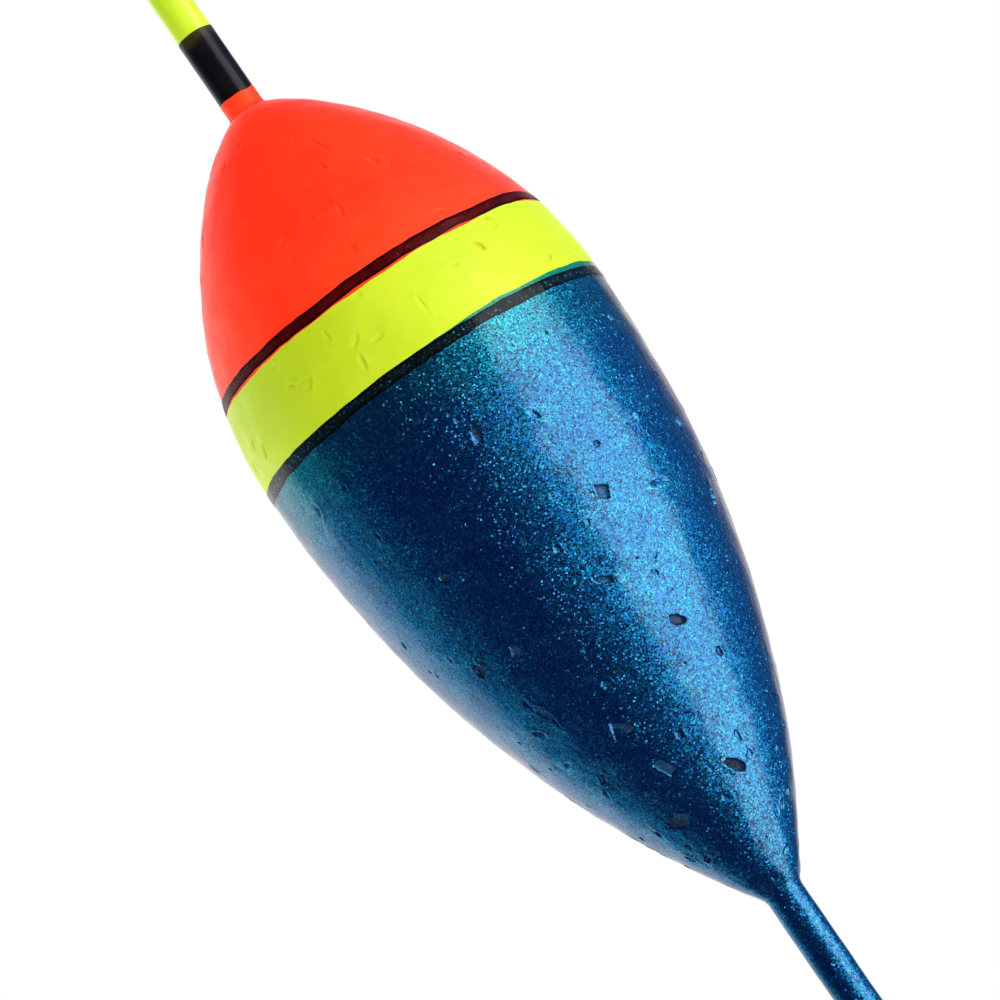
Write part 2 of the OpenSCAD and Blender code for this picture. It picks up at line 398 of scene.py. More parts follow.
def under_shell(name, top_z, bottom_z, outer_lift, inner_lift, columns=160, step=0.5, bore_r=TUBE_R + 0.1):
    """A hidden layer that follows the skin from below, with room for its voids. inner_lift None gives a bored solid."""
    a = angles(columns)
    s = np.linspace(along_at(top_z), along_at(bottom_z), int(abs(top_z - bottom_z) / step) + 2)[:, None]
    grid_s, grid_a = np.broadcast_to(s, (len(s), columns)), np.broadcast_to(a, (len(s), columns))
    outer, _ = skin_points(grid_a, grid_s, outer_lift, 0.9)
    if inner_lift is None:
        bore = np.linspace(outer[0, 0, 2], outer[-1, 0, 2], 40)[:, None]
        inner = polar(np.broadcast_to(a, (40, columns)), bore_r, bore)
    else:
        inner, _ = skin_points(grid_a, grid_s, inner_lift, 0.9)
    first, rows = outer[..., 0].size, len(inner)
    faces = ring_faces(len(s), columns) + ring_faces(rows, columns, first, flip=True)
    faces += rim_faces(0, columns, first, columns, flip=False)
    faces += rim_faces(first - columns, columns, first + (rows - 1) * columns, columns, flip=True)
    return new_piece(name, np.concatenate([outer.reshape(-1, 3), inner.reshape(-1, 3)]), faces)


def tube(name, r_in, r_out, z0, z1, lip, columns=96, step=1.0, ripple=0.0, seed=0, wavy=0.0, body="float"):
    """A tube with rounded ends, lightly rippled walls, and ends that wander by wavy."""
    a = angles(columns)
    wall = r_out - r_in
    lip = min(lip, wall / 2)
    turn = np.linspace(0, math.pi / 2, 5)
    heights = np.linspace(z1 - lip, z0 + lip, max(3, int((z1 - z0) / step)))
    outline = [(r_out - lip + lip * math.sin(t), z1 - lip + lip * math.cos(t)) for t in turn[:-1]]
    outline += [(r_out, z) for z in heights]
    outline += [(r_out - lip + lip * math.cos(t), z0 + lip - lip * math.sin(t)) for t in turn[1:]]
    outline += [(r_in + lip - lip * math.sin(t), z0 + lip - lip * math.cos(t)) for t in turn[:-1]]
    outline += [(r_in, z) for z in heights[::-1]]
    outline += [(r_in + lip - lip * math.cos(t), z1 - lip + lip * math.sin(t)) for t in turn[1:]]
    r, z = (np.array(values)[:, None] for values in zip(*outline))
    points = polar(a, r, z)
    end = smooth(np.abs(z - (z0 + z1) / 2), (z1 - z0) / 2 - 0.5, (z1 - z0) / 2)
    ends = polar(a, r_out, np.where(z > (z0 + z1) / 2, 0.0, 50.0))
    points[..., 2] += wavy * end * waves(ends, 1.2, seed + 50)
    swell = ripple * np.clip(waves(points, 1.4, seed), -2, 2) * (r > r_in + wall * 0.6)
    points += polar(a, swell, 0 * z)
    rows = len(outline)
    faces = ring_faces(rows, columns)
    here = np.arange(columns)
    there = (here + 1) % columns
    seam = (rows - 1) * columns
    faces += np.stack([seam + here, here, there, seam + there], 1).tolist()
    marks = {
        "from_top": np.broadcast_to(z1 - z, points.shape[:2]).ravel(),
        "from_bottom": np.broadcast_to(z - z0, points.shape[:2]).ravel(),
    }
    return new_piece(name, points.reshape(-1, 3), faces, marks, body)


def capped(name, outline, columns=96, body="float"):
    """A turned solid from an outline that starts and ends on the axis."""
    a = angles(columns)
    r, z = (np.array(values)[1:-1, None] for values in zip(*outline))
    points = polar(a, r, z).reshape(-1, 3)
    first, last = len(points), len(points) + 1
    points = np.concatenate([points, [[0, 0, outline[0][1]], [0, 0, outline[-1][1]]]])
    faces = ring_faces(len(r), columns)
    seam = (len(r) - 1) * columns
    for k in range(columns):
        after = (k + 1) % columns
        faces += [[first, k, after], [last, seam + after, seam + k]]
    return new_piece(name, points, faces, body=body)


# ---------------------------------------------------------------- materials
class Surface:
    """One procedural material. Patterns are laid out in mm in the part's own frame."""

    def __init__(self, name):
        self.material = bpy.data.materials.new(name)
        self.material.use_nodes = True
        self.tree = self.material.node_tree
        self.tree.nodes.clear()
        self.shader = self.add("ShaderNodeBsdfPrincipled")
        output = self.add("ShaderNodeOutputMaterial")
        self.tree.links.new(self.shader.outputs["BSDF"], output.inputs["Surface"])
        place = self.add("ShaderNodeTexCoord").outputs["Object"]
        scaled = self.add("ShaderNodeVectorMath", {0: place, "Scale": 1 / MM}, operation="SCALE")
        self.place = scaled.outputs[0]

    def add(self, kind, inputs=None, **settings):
        node = self.tree.nodes.new(kind)
        for key, value in settings.items():
            setattr(node, key, value)
        for key, value in (inputs or {}).items():
            self.feed(node.inputs[key], value)
        return node

    def feed(self, socket, value):
        if isinstance(value, bpy.types.NodeSocket):
            self.tree.links.new(value, socket)
        elif socket.type == "RGBA" and len(value) == 3:
            socket.default_value = (*value, 1)
        else:
            socket.default_value = value

    def set(self, **values):
        for key, value in values.items():
            self.feed(self.shader.inputs[key.replace("_", " ").title().replace("Ior", "IOR")], value)
        return self.material

    def mark(self, name):
        return self.add("ShaderNodeAttribute", attribute_name=name).outputs["Fac"]

    def stretched(self, x=1.0, y=1.0, z=1.0):
        return self.add("ShaderNodeVectorMath", {0: self.place, 1: (x, y, z)}, operation="MULTIPLY").outputs[0]

    def noise(self, size, detail=2.0, place=None):
        inputs = {"Vector": place or self.place, "Scale": 1 / size, "Detail": detail}
        return self.add("ShaderNodeTexNoise", inputs).outputs["Fac"]

    def cells(self, size, feature="F1"):
        return self.add("ShaderNodeTexVoronoi", {"Vector": self.place, "Scale": 1 / size}, feature=feature)

    def math(self, operation, a, b=0.0, clamp=False):
        return self.add("ShaderNodeMath", {0: a, 1: b}, operation=operation, use_clamp=clamp).outputs[0]

    def span(self, value, low, high, to_low=0.0, to_high=1.0):
        inputs = {"Value": value, "From Min": low, "From Max": high, "To Min": to_low, "To Max": to_high}
        return self.add("ShaderNodeMapRange", inputs, interpolation_type="SMOOTHSTEP").outputs[0]

    def ramp(self, value, *stops, interpolation="LINEAR"):
        node = self.add("ShaderNodeValToRGB", {"Fac": value})
        node.color_ramp.interpolation = interpolation
        while len(node.color_ramp.elements) < len(stops):
            node.color_ramp.elements.new(1)
        for element, (place, colour) in zip(node.color_ramp.elements, stops):
            element.position = place
            element.color = (*colour, 1)
        return node.outputs["Color"]

    def mix(self, share, a, b, blend="MIX"):
        node = self.add("ShaderNodeMix", {0: share, 6: a, 7: b}, data_type="RGBA", blend_type=blend)
        return node.outputs[2]

    def split(self, colour):
        return self.add("ShaderNodeSeparateColor", {0: colour}).outputs

    def bump(self, height, size, normal=None):
        inputs = {"Height": height, "Distance": size * MM, "Strength": 1.0}
        if normal:
            inputs["Normal"] = normal
        return self.add("ShaderNodeBump", inputs).outputs[0]


def paint_bump(m, peel=0.012, grain=0.002, scratches=0.006):
    """Orange peel, fine grain and thin sanding scratches along the stem."""
    fine = m.bump(m.noise(0.09, 3), grain)
    soft = m.bump(m.noise(0.7, 2), peel, fine)
    lines = m.span(m.noise(0.16, 3, m.stretched(z=0.05)), 0.62, 0.72)
    return m.bump(lines, -scratches, soft)


def fluorescent(name, deep, bright, pale, glow, glow_share, roughness, haze, gleam, speck_at=None):
    """Satin daylight-fluorescent paint. It glows a little, in a purer tone than the one it reflects."""
    m = Surface(name)
    wide = m.mix(m.span(m.noise(9, 2), 0.35, 0.65), deep, bright)
    mottled = m.mix(m.span(m.noise(0.8, 4), 0.5, 0.8, 0, 0.25), wide, pale)
    spots = m.cells(1.9)
    speck = m.span(spots.outputs["Distance"], 0.035, 0.02)
    rare = m.math("GREATER_THAN", m.split(spots.outputs["Color"])[0], 0.96)
    dotted = m.mix(m.math("MULTIPLY", speck, rare), mottled, (0.12, 0.02, 0.01))
    if speck_at is not None:
        away = m.add("ShaderNodeVectorMath", {0: m.place, 1: speck_at}, operation="DISTANCE").outputs["Value"]
        dotted = m.mix(m.span(away, 0.2, 0.08, 0, 0.7), dotted, (0.2, 0.015, 0.005))
    scuffed = m.mix(m.span(m.noise(0.16, 3, m.stretched(z=0.05)), 0.66, 0.76, 0, 0.15), dotted, pale)
    # Painted shade: the colour darkens towards brown where the surface is sunk, in the nicks and voids, where shade
    # would fall.
    painted_hollow_shade = m.mix(m.span(m.mark("sunk"), 0.0, 0.08, 0, 0.35), scuffed, (0.45, 0.12, 0.02))
    return m.set(
        base_color=painted_hollow_shade, roughness=m.span(m.noise(2.2, 3), 0.3, 0.7, roughness - 0.05, roughness + 0.08),
        specular_ior_level=0.7, specular_tint=gleam, emission_color=glow, emission_strength=glow_share, normal=paint_bump(m),
        sheen_weight=haze, sheen_roughness=0.25, sheen_tint=(1, 0.92, 0.94),
    )


def orange_paint():
    s = along_at(WIDEST_Z + 19.5)
    speck = skin_points(np.array(math.radians(14.5)), np.array(s), 0)[0]
    return fluorescent("orange_paint", (0.9, 0.038, 0.004), (0.95, 0.052, 0.006), (1, 0.09, 0.03),
                       (1, 0.012, 0.002), 0.62, 0.5, 0.6, (1, 0.8, 0.45), tuple(speck))


def yellow_paint():
    return fluorescent("yellow_paint", (0.6, 0.79, 0.012), (0.69, 0.88, 0.02), (0.8, 1, 0.12),
                       (0.7, 0.92, 0.003), 0.2, 0.45, 0.12, (1, 1, 0.5))


def flakes(m, size, lean, tail):
    """Each flake's normal, its lean, and random values. Most lie nearly flat, and a few lean up to tail times more."""
    cells = m.cells(size)
    centred = m.add("ShaderNodeVectorMath", {0: cells.outputs["Color"], 1: (0.5, 0.5, 0.5)}, operation="SUBTRACT")
    random = m.add("ShaderNodeTexWhiteNoise", {"Vector": cells.outputs["Position"]})
    rare = m.math("POWER", random.outputs["Value"], 3.2)
    reach = m.add("ShaderNodeMath", {0: rare, 1: 2 * lean * tail, 2: 2 * lean}, operation="MULTIPLY_ADD").outputs[0]
    tilt = m.add("ShaderNodeVectorMath", {0: centred.outputs[0], "Scale": reach}, operation="SCALE").outputs[0]
    straight = m.add("ShaderNodeNewGeometry").outputs["Normal"]
    leaning = m.add("ShaderNodeVectorMath", {0: straight, 1: tilt}, operation="ADD").outputs[0]
    normal = m.add("ShaderNodeVectorMath", {0: leaning}, operation="NORMALIZE").outputs[0]
    square = m.add("ShaderNodeVectorMath", {0: normal, 1: straight}, operation="DISTANCE").outputs["Value"]
    return normal, square, m.split(random.outputs["Color"])


def blue_flake_paint():
    """Metal-flake lacquer: flat flakes shine cyan and leaning ones deeper blue, under a clear coat."""
    m = Surface("blue_flake_paint")
    normal, lean, pick = flakes(m, 0.115, 0.15, 3.2)
    hue = m.ramp(lean, (0.0, (0.015, 0.44, 0.48)), (0.11, (0.01, 0.34, 0.52)), (0.24, (0.0, 0.14, 0.45)),
                 (0.45, (0.05, 0.32, 0.7)))
    flake = m.mix(m.span(pick[1], 0.0, 1.0, 0.0, 0.6), hue, (0.0, 0.06, 0.26))
    bright = m.mix(m.span(pick[1], 0.14, 0.04, 0.0, 0.5), flake, (0.06, 0.6, 0.9))
    patchy = m.mix(m.span(m.noise(3, 3), 0.35, 0.65, 0.0, 0.25), bright, (0.0, 0.05, 0.28))
    teal = m.span(m.mark("thin_paint"), 0.0, 1.0)
    tinted = m.mix(teal, patchy, (0.78, 1.42, 0.9), "MULTIPLY")
    edge = m.span(m.mark("thin_paint"), 0.93, 0.97, 0.0, 0.8)
    fringe = m.mix(edge, tinted, (0.0, 0.3, 0.13))
    hollow = m.span(m.mark("sunk"), 0.05, 0.16)
    # Painted shade: the colour darkens to grey where the surface is sunk in the voids, where shade would fall. The
    # lower metallic and thinner coat there are the voids' own duller finish.
    painted_void_shade = m.mix(m.math("MULTIPLY", hollow, m.span(m.noise(2.5, 2), 0.4, 0.6, 0.5, 0.9)), fringe, (0.03, 0.03, 0.055))
    return m.set(
        base_color=painted_void_shade, metallic=m.span(m.math("ADD", hollow, edge), 0, 1, 1, 0.3), normal=normal,
        roughness=m.span(pick[2], 0, 1, 0.3, 0.45), specular_tint=(0.35, 0.38, 0.45),
        coat_weight=m.span(hollow, 0.3, 1, 0.75, 0.12), coat_roughness=m.span(m.noise(2.5, 3), 0.3, 0.7, 0.14, 0.22), coat_ior=1.5,
        coat_normal=paint_bump(m),
    )


def black_ink(name, middle, edge, fleck, gloss):
    """Hand-drawn translucent ink, thin in the middle of the stroke and dark where it pools at the edges."""
    m = Surface(name)
    wobble = m.math("MULTIPLY", m.math("SUBTRACT", m.noise(0.5, 3), 0.5), 0.3)
    from_edge = m.math("MINIMUM", m.mark("from_top"), m.mark("from_bottom"))
    thin = m.span(m.math("ADD", from_edge, wobble), LINE_H * 0.12, LINE_H * 0.35)
    patches = m.math("MULTIPLY", thin, m.span(m.noise(1.6, 3), 0.2, 0.55, 0.35, 1.0))
    ink = m.mix(patches, edge, middle)
    normal, _, pick = flakes(m, 0.12, 0.12, 3.0)
    shows = m.math("MULTIPLY", thin, m.span(pick[0], 0.85, 0.95))
    m.set(
        base_color=m.mix(shows, ink, fleck), normal=normal, metallic=m.math("MULTIPLY", shows, 0.8),
        roughness=0.4, specular_ior_level=0.05, coat_weight=gloss,
        coat_roughness=m.span(m.noise(0.8, 3), 0.3, 0.7, 0.12, 0.25), coat_normal=m.bump(m.noise(0.35, 3), 0.012),
    )
    return m.material


def upper_ink():
    return black_ink("upper_ink", (0.11, 0.002, 0.001), (0.016, 0.0008, 0.0005), (0.16, 0.01, 0.01), 0.12)


def lower_ink():
    return black_ink("lower_ink", (0.003, 0.008, 0.007), (0.001, 0.002, 0.002), (0.02, 0.16, 0.26), 0.45)


def band_ink():
    """The antenna's band: gloss black, with the yellow showing through where the stroke thins at its top."""
    m = Surface("antenna_band_ink")
    wander = m.math("MULTIPLY", m.math("SUBTRACT", m.noise(0.9, 3), 0.5), 1.1)
    thin = m.span(m.math("ADD", m.mark("from_top"), wander), 0.0, 1.3, 0.45, 0.0)
    black = m.mix(m.span(m.noise(2, 3), 0.35, 0.65), (0.004, 0.003, 0.004), (0.008, 0.006, 0.006))
    return m.set(
        base_color=m.mix(thin, black, (0.12, 0.11, 0.01)), roughness=0.35, specular_ior_level=0.15,
        coat_weight=0.28, coat_roughness=m.span(m.noise(0.8, 3), 0.3, 0.7, 0.15, 0.25), coat_tint=(0.8, 0.75, 0.85),
        normal=m.bump(m.noise(0.5, 3), 0.01), coat_normal=m.bump(m.noise(0.5, 2, m.stretched(z=0.12)), 0.06),
    )


def antenna_plastic():
    """Extruded fluorescent tube: glows a little, with faint die lines and scuffs along it."""
    m = Surface("antenna_plastic")
    wide = m.mix(m.span(m.noise(6, 2), 0.35, 0.65), (0.58, 0.87, 0.012), (0.66, 0.95, 0.024))
    lines = m.noise(0.12, 2, m.stretched(z=0.01))
    scuffs = m.span(m.noise(0.3, 4, m.stretched(z=0.3)), 0.62, 0.75, 0, 0.25)
    colour = m.mix(scuffs, wide, (0.72, 0.95, 0.2))
    return m.set(
        base_color=colour, roughness=m.span(m.noise(1.5, 3), 0.3, 0.7, 0.26, 0.4),
        emission_color=colour, emission_strength=0.16, subsurface_weight=0.25, subsurface_scale=0.0008,
        subsurface_radius=(1.0, 1.0, 0.3), normal=m.bump(m.noise(0.2, 3), 0.003, m.bump(lines, 0.006)),
        coat_weight=0.2, coat_roughness=0.2,
    )


def plain(name, dark, light, roughness, size=1.0, bump=0.01, **more):
    """Mottled plastic, rubber, glue or foam."""
    m = Surface(name)
    colour = m.mix(m.span(m.noise(size * 2, 4), 0.3, 0.7), dark, light)
    grain = m.bump(m.noise(size * 0.12, 3), bump * 0.3, m.bump(m.noise(size, 2), bump))
    rough = m.span(m.noise(size * 0.8, 3), 0.3, 0.7, roughness - 0.06, roughness + 0.08)
    return m.set(base_color=colour, roughness=rough, normal=grain, **more)


def foam():
    """Closed-cell foam: rounded beads with darker joints."""
    m = Surface("foam")
    edge = m.cells(1.1, "DISTANCE_TO_EDGE").outputs["Distance"]
    joint = m.span(edge, 0.0, 0.08)
    colour = m.mix(joint, (0.6, 0.54, 0.4), m.mix(m.noise(3, 3), (0.86, 0.82, 0.7), (0.94, 0.92, 0.84)))
    return m.set(base_color=colour, roughness=0.85, normal=m.bump(m.span(edge, 0, 0.3), 0.12))


# ---------------------------------------------------------------- pieces
def border(z, wander, seed, lean=0.0, lean_angle=90.0):
    """A hand-cut border round the body, as a function from angle to distance along the outline."""
    def at(angle):
        ring = polar(angle, BODY_R, 0.0)
        drift = wander * waves(ring, 3.0, seed) + wander * 0.35 * waves(ring, 0.8, seed + 1)
        return along_at(z + drift + lean * np.cos(angle - math.radians(lean_angle)))
    return at


def paint_the_body():
    neck_top = lambda angle: 0.05 * (1 + np.clip(waves(polar(angle, 1.5, 0.0), 1.0, 31), -1, 2))
    orange_yellow = border(YELLOW_TOP_Z + LINE_SHIFT - 0.02, 0.05, 32, lean=-0.1, lean_angle=-20)
    yellow_blue = border(WIDEST_Z + LINE_SHIFT, 0.05, 34, lean=0.48, lean_angle=88)
    blue_end = lambda angle: ALONG[-1] + 0 * angle
    orange = skin_shell("orange_skin", neck_top, orange_yellow, COLOUR_T)
    yellow = skin_shell("yellow_skin", orange_yellow, yellow_blue, COLOUR_T)
    blue = skin_shell("blue_skin", yellow_blue, blue_end, COLOUR_T)
    mark_thin_paint(blue)
    finish_piece(orange, orange_paint(), "orange_paint", "orange_coat")
    finish_piece(yellow, yellow_paint(), "yellow_paint", "yellow_coat")
    finish_piece(blue, BLUE_PAINT, "blue_flake_paint", "blue_coat")


def mark_thin_paint(blue):
    """1 at the top border of the blue, fading downwards, where its first coat lies over the yellow."""
    from_top = np.zeros(len(blue.data.vertices), np.float32)
    blue.data.attributes["from_top"].data.foreach_get("value", from_top)
    share = smooth(from_top, 9.0, 0.0) * 0.9 + 0.1 * (from_top < 0.5)
    blue.data.attributes.new("thin_paint", "FLOAT", "POINT").data.foreach_set("value", share.astype(np.float32))


def ink_line(name, top_z, material, seed, node):
    """A hand-drawn stroke round the body, domed across its width, with ragged edges."""
    a = angles(COLUMNS)
    top, bottom = border(top_z, 0.035, seed)(a), border(top_z - LINE_H, 0.045, seed + 3)(a)
    rows = 13
    share = np.linspace(0, 1, rows)[:, None]
    s = top + (bottom - top) * share
    grid = np.broadcast_to(a, s.shape)
    dome = INK_T * (1 - np.abs(2 * share - 1) ** 5) + 0.004
    outer, _ = skin_points(grid, s, dome + 0 * s)
    inner, _ = skin_points(grid, s, -0.003)
    first = rows * COLUMNS
    faces = ring_faces(rows, COLUMNS) + ring_faces(rows, COLUMNS, first, flip=True)
    faces += rim_faces(0, COLUMNS, first, COLUMNS, flip=False)
    faces += rim_faces(first - COLUMNS, COLUMNS, 2 * first - COLUMNS, COLUMNS, flip=True)
    marks = {
        "from_top": np.concatenate([(s - top).ravel()] * 2),
        "from_bottom": np.concatenate([(bottom - s).ravel()] * 2),
    }
    points = np.concatenate([outer.reshape(-1, 3), inner.reshape(-1, 3)])
    finish_piece(new_piece(name, points, faces, marks, smooth_angle=60), material, "black_ink", node)


def under_the_paint():
    foam_lift = -COLOUR_T - UNDERCOAT_T - 0.02
    finish_piece(
        under_shell("white_undercoat_skin", top_of("foam_body") + 0.1, bottom_of("foam_body") - 0.1,
                    -COLOUR_T - 0.01, foam_lift + 0.01),
        plain("undercoat", (0.82, 0.82, 0.8), (0.9, 0.9, 0.88), 0.6, 1.2), "white_undercoat", "white_undercoat",
    )
    finish_piece(
        under_shell("foam_core", top_of("foam_body"), bottom_of("foam_body"), foam_lift, None),
        foam(), "foam", "foam_body",
    )


def stem():
    finish_piece(
        tube("antenna_tube", BORE_R, TUBE_R - 0.004, bottom_of("stem_tube"), top_of("stem_tube"), 0.06,
             columns=128, step=0.6, ripple=0.002, seed=61),
        antenna_plastic(), "antenna_plastic", "stem_tube",
    )
    finish_piece(
        tube("keel_skin", TUBE_R, STEM_SKIN_R - 0.01, bottom_of("keel_paint"), OUT_Z[-1] + 0.15, 0.02,
             columns=128, step=0.25, ripple=0.007, seed=63),
        BLUE_PAINT, "blue_flake_paint", "keel_paint",
    )
    finish_piece(
        tube("antenna_band", TUBE_R - 0.004, radius_of("antenna_black_band"), bottom_of("antenna_black_band") - 0.3,
             top_of("antenna_black_band"), 0.012, columns=128, step=0.2, ripple=0.0025, seed=65, wavy=0.035),
        band_ink(), "black_ink", "antenna_black_band",
    )


def tip_plug():
    """A rounded head with a spigot, and a fine parting step where it meets the tube."""
    z, top = bottom_of("antenna_tip_plug") + 5, top_of("antenna_tip_plug")
    turn = np.linspace(math.pi / 2, 0, 22)
    outline = [(TUBE_R * math.cos(t), z + 0.06 + (top - z - 0.06) * math.sin(t)) for t in turn]
    outline += [(TUBE_R - 0.03, z + 0.02), (TUBE_R - 0.06, z + 0.004), (BORE_R - 0.002, z + 0.002)]
    outline += [(BORE_R - 0.002, z - 4.7), (BORE_R - 0.12, z - 4.96), (BORE_R - 0.3, z - 5), (0, z - 5)]
    finish_piece(capped("tip_cap", outline), antenna_plastic(), "antenna_plastic", "antenna_tip_plug")


def moulded_eye():
    """The line eye: plain solids joined, bored, then remeshed and smoothed so that every edge is soft, as moulded."""
    thick, round_r, hole_r = 1.2, TUBE_R - 0.05, 0.85
    flange_top = bottom_of("stem_tube")
    flange, shoulder, spigot = 1.0, 0.9, 7.0
    parts = [
        (BORE_R - 0.02, BORE_R - 0.02, flange_top - 0.3, flange_top + spigot),
        (TUBE_R - 0.01, TUBE_R - 0.01, flange_top - flange, flange_top - 0.01),
        (thick / 2, TUBE_R - 0.01, flange_top - flange - shoulder, flange_top - flange + 0.01),
    ]
    mesh = bpy.data.meshes.new("eye_mesh")
    bm = bmesh.new()
    for r0, r1, z0, z1 in parts:
        place = Matrix.Translation((0, 0, (z0 + z1) / 2))
        bmesh.ops.create_cone(bm, cap_ends=True, segments=72, radius1=r0, radius2=r1, depth=z1 - z0, matrix=place)
    flat = Matrix.Rotation(math.pi / 2, 4, "X")
    bmesh.ops.create_cone(bm, cap_ends=True, segments=72, radius1=round_r, radius2=round_r, depth=thick, matrix=flat)
    block = Matrix.Translation((0, 0, flange_top / 2 - flange / 2)) @ Matrix.Diagonal(
        (2 * round_r, thick, flange_top - flange, 1))
    bmesh.ops.create_cube(bm, size=1, matrix=block)
    bm.to_mesh(mesh)
    bm.free()
    solid = bpy.data.objects.new("line_eye", mesh)
    bpy.context.scene.collection.objects.link(solid)
    cutter_mesh = bpy.data.meshes.new("cutter")
    bm = bmesh.new()
    bmesh.ops.create_cone(bm, cap_ends=True, segments=72, radius1=hole_r, radius2=hole_r, depth=6, matrix=flat)
    bm.to_mesh(cutter_mesh)
    bm.free()
    cutter = bpy.data.objects.new("cutter", cutter_mesh)
    bpy.context.scene.collection.objects.link(cutter)
    for kind, settings in (
        ("REMESH", {"mode": "VOXEL", "voxel_size": 0.07}),
        ("BOOLEAN", {"operation": "DIFFERENCE", "object": cutter, "solver": "EXACT"}),
        ("REMESH", {"mode": "VOXEL", "voxel_size": 0.055}),
        ("SMOOTH", {"factor": 0.5, "iterations": 7}),
    ):
        modifier = solid.modifiers.new(kind, kind)
        for key, value in settings.items():
            setattr(modifier, key, value)
    baked = bpy.data.meshes.new_from_object(solid.evaluated_get(bpy.context.evaluated_depsgraph_get()))
    points = np.array([v.co for v in baked.vertices])
    faces = [list(p.vertices) for p in baked.polygons]
    bpy.data.objects.remove(solid)
    bpy.data.objects.remove(cutter)
    eye = new_piece("line_eye", points, faces, smooth_angle=80)
    material = plain("eye_plastic", (0.012, 0.012, 0.014), (0.022, 0.022, 0.025), 0.38, 0.8, 0.012)
    finish_piece(eye, material, "eye_plastic", "line_eye_plug")


def sleeves():
    """Silicone sleeves: cut ends, softly rounded, with a dusty sheen."""
    material = plain("silicone", (0.012, 0.012, 0.014), (0.03, 0.03, 0.033), 0.5, 1.0, 0.01,
                     sheen_weight=0.3, sheen_roughness=0.4, sheen_tint=(0.8, 0.82, 0.85))
    for seed, node in enumerate(("antenna_sleeve", "upper_keel_sleeve", "lower_keel_sleeve")):
        bore = (TUBE_R if seed == 0 else STEM_SKIN_R) + 0.05
        piece = tube(node + "_skin", bore, radius_of(node), bottom_of(node), top_of(node), 0.16, step=0.25,
                     ripple=0.006, seed=70 + seed, wavy=0.05, body=node)
        finish_piece(piece, material, "silicone", node)


def glue():
    """Glue between stem and foam, and a bead at each end under the paint."""
    material = plain("glue", (0.5, 0.4, 0.2), (0.66, 0.56, 0.33), 0.3, 0.8, 0.03, coat_weight=0.5)
    crown_end = OUT_Z[OUT_R > TUBE_R + 0.3][0]
    taper_end = OUT_Z[OUT_R > TUBE_R + 0.3][-1]
    for name, node, high, low in (
        ("top_glue_bead", "top_glue_fillet", crown_end, top_of("foam_body") + 0.02),
        ("bottom_glue_bead", "bottom_glue_fillet", bottom_of("foam_body") - 0.02, taper_end),
    ):
        bead = under_shell(name, high, low, -COLOUR_T - 0.02, None, columns=96, step=0.08, bore_r=TUBE_R + 0.01)
        finish_piece(bead, material, "glue", node)
    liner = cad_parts["stem_glue"]
    liner.data.materials.clear()
    liner.data.materials.append(material)


# ---------------------------------------------------------------- stage
CAMERA_BELOW = 9.0
CAMERA_ROLL = 34.51
CAMERA_DISTANCE = 531.3
AIM_BELOW_WIDEST = 13.97
AIM_LEFT, AIM_UP = 2.53, 2.10


def floor():
    """A pale floor under the float, fading to white far from it. It has a soft light of its own and takes no other."""
    size, z = 12.0, cad_box[0].z - 0.2 * MM
    mesh = bpy.data.meshes.new("floor")
    mesh.from_pydata([(-size, -size, z), (size, -size, z), (size, size, z), (-size, size, z)], [], [(0, 1, 2, 3)])
    piece = bpy.data.objects.new("floor", mesh)
    piece.visible_glossy = False
    piece.visible_shadow = False
    bpy.context.scene.collection.objects.link(piece)
    m = Surface("floor")
    colour = m.mix(m.noise(40, 3), (0.86, 0.86, 0.86), (0.9, 0.9, 0.9))
    away = m.add("ShaderNodeVectorMath", {0: m.place}, operation="LENGTH").outputs["Value"]
    far = m.span(away, 300, 1500)
    mesh.materials.append(m.set(
        base_color=m.mix(far, colour, (0, 0, 0)), roughness=0.7, specular_ior_level=0.0,
        emission_color=(1, 1, 1), emission_strength=far,
    ))
    sky = bpy.data.lights.new("floor_light", "SUN")
    sky.energy, sky.angle = 2.1, math.radians(50)
    lamp = bpy.data.objects.new("floor_light", sky)
    lamp.rotation_euler = (math.radians(25), 0, math.radians(60))
    lamp.light_linking.receiver_collection = linked_to("floor_only", piece, "INCLUDE")
    bpy.context.scene.collection.objects.link(lamp)
    return linked_to("all_but_floor", piece, "EXCLUDE")


def linked_to(name, piece, state):
    """What a light reaches: the piece alone, or everything but the piece."""
    reach = bpy.data.collections.new(name)
    reach.objects.link(piece)
    reach.collection_objects[0].light_linking.link_state = state
    return reach


def soft_light(name, azimuth, height, distance, width, tall, radiance, colour=(1, 1, 1), mirrored=True):
    """An area light round the float, in metres, its azimuth counted from the camera's side towards +X."""
    light = bpy.data.lights.new(name, "AREA")
    light.shape, light.size, light.size_y = "RECTANGLE", width, tall
    light.energy, light.color = radiance * math.pi * width * tall, colour
    lamp = bpy.data.objects.new(name, light)
    a = math.radians(azimuth)
    middle = Vector((0, 0, WIDEST_Z * MM))
    lamp.location = middle + Vector((math.sin(a) * distance, -math.cos(a) * distance, height))
    lamp.rotation_euler = (middle - lamp.location).to_track_quat("-Z", "Y").to_euler()
    lamp.visible_camera = False
    lamp.visible_glossy = mirrored
    lamp.light_linking.receiver_collection = ALL_BUT_FLOOR
    bpy.context.scene.collection.objects.link(lamp)


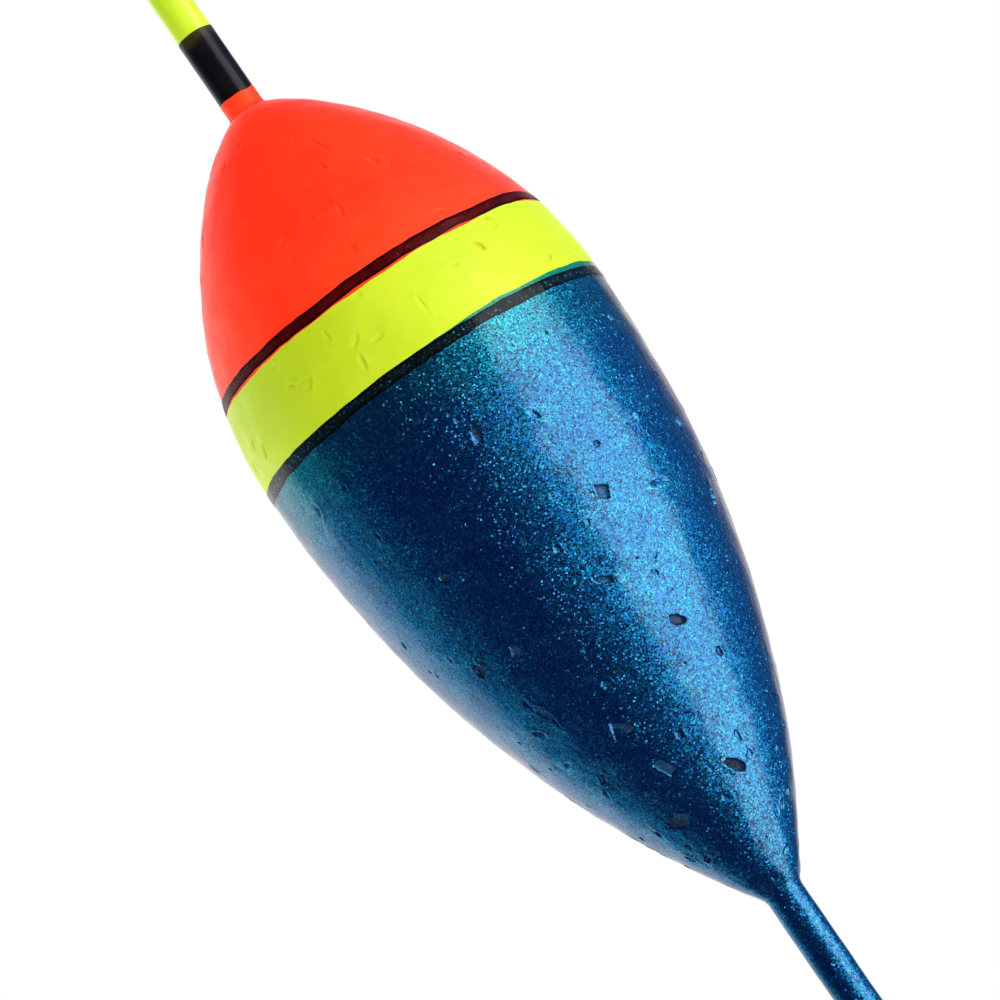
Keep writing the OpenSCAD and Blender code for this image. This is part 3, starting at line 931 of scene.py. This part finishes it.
def surroundings():
    """White to the camera. In reflections: bright behind the float, more to the left, and dim blue in front of it."""
    world = bpy.data.worlds.new("studio")
    bpy.context.scene.world = world
    world.use_nodes = True
    tree = world.node_tree
    tree.nodes.clear()
    add = tree.nodes.new
    way = add("ShaderNodeSeparateXYZ")
    tree.links.new(add("ShaderNodeTexCoord").outputs["Generated"], way.inputs[0])
    lean = add("ShaderNodeMath")
    lean.operation = "MULTIPLY_ADD"
    tree.links.new(way.outputs["X"], lean.inputs[0])
    lean.inputs[1].default_value = -0.32
    tree.links.new(way.outputs["Y"], lean.inputs[2])
    behind = add("ShaderNodeMapRange")
    behind.interpolation_type = "SMOOTHSTEP"
    tree.links.new(lean.outputs[0], behind.inputs["Value"])
    behind.inputs["From Min"].default_value = 0.55
    behind.inputs["From Max"].default_value = 0.92
    room = add("ShaderNodeMix")
    room.data_type = "RGBA"
    tree.links.new(behind.outputs[0], room.inputs[0])
    room.inputs[6].default_value = (0.03, 0.026, 0.09, 1)
    room.inputs[7].default_value = (1.3, 1.16, 1.1, 1)
    path = add("ShaderNodeLightPath")
    seen = add("ShaderNodeMix")
    seen.data_type = "RGBA"
    tree.links.new(path.outputs["Is Camera Ray"], seen.inputs[0])
    tree.links.new(room.outputs[2], seen.inputs[6])
    seen.inputs[7].default_value = (1, 1, 1, 1)
    back = add("ShaderNodeBackground")
    tree.links.new(seen.outputs[2], back.inputs["Color"])
    tree.links.new(back.outputs[0], add("ShaderNodeOutputWorld").inputs["Surface"])


def camera():
    data = bpy.data.cameras.new("camera")
    data.lens, data.sensor_width = 250, 36
    data.clip_start, data.clip_end = 0.01, 20
    eye = bpy.data.objects.new("camera", data)
    below, roll = math.radians(CAMERA_BELOW), math.radians(CAMERA_ROLL)
    toward = Vector((0, -math.cos(below), -math.sin(below)))
    right, up = Vector((1, 0, 0)), Vector((0, -math.sin(below), math.cos(below)))
    if roll:
        right, up = right * math.cos(roll) - up * math.sin(roll), up * math.cos(roll) + right * math.sin(roll)
    aim = Vector((0, 0, WIDEST_Z - AIM_BELOW_WIDEST)) - right * AIM_LEFT + up * AIM_UP
    turn = Matrix((right, up, toward)).transposed().to_4x4()
    eye.matrix_world = Matrix.Translation((aim + toward * CAMERA_DISTANCE) * MM) @ turn
    bpy.context.scene.collection.objects.link(eye)
    bpy.context.scene.camera = eye


BLUE_PAINT = blue_flake_paint()
paint_the_body()
ink_line("upper_ink_line", YELLOW_TOP_Z + LINE_H + LINE_SHIFT, upper_ink(), 41, "upper_black_line")
ink_line("lower_ink_line", WIDEST_Z + LINE_SHIFT, lower_ink(), 45, "lower_black_line")
under_the_paint()
stem()
tip_plug()
moulded_eye()
sleeves()
glue()
ALL_BUT_FLOOR = floor()
soft_light("key", 61, -0.2, 0.8, 0.79, 1.9, 2.45)
soft_light("fill", -118, 0.1, 1.0, 1.2, 1.2, 1.0, (0.85, 1, 0.9), mirrored=False)
soft_light("ambient", 0, 0.5, 1.2, 1.5, 1.0, 0.8, mirrored=False)
soft_light("cool_left", -112, 0.0, 1.0, 1.1, 1.6, 0.26, (0.25, 0.95, 0.95))
soft_light("cool_right", 116, 0.0, 1.0, 0.8, 1.6, 0.3, (0.05, 0.4, 1.0))
surroundings()
camera()
bpy.context.scene.view_settings.view_transform = "Standard"
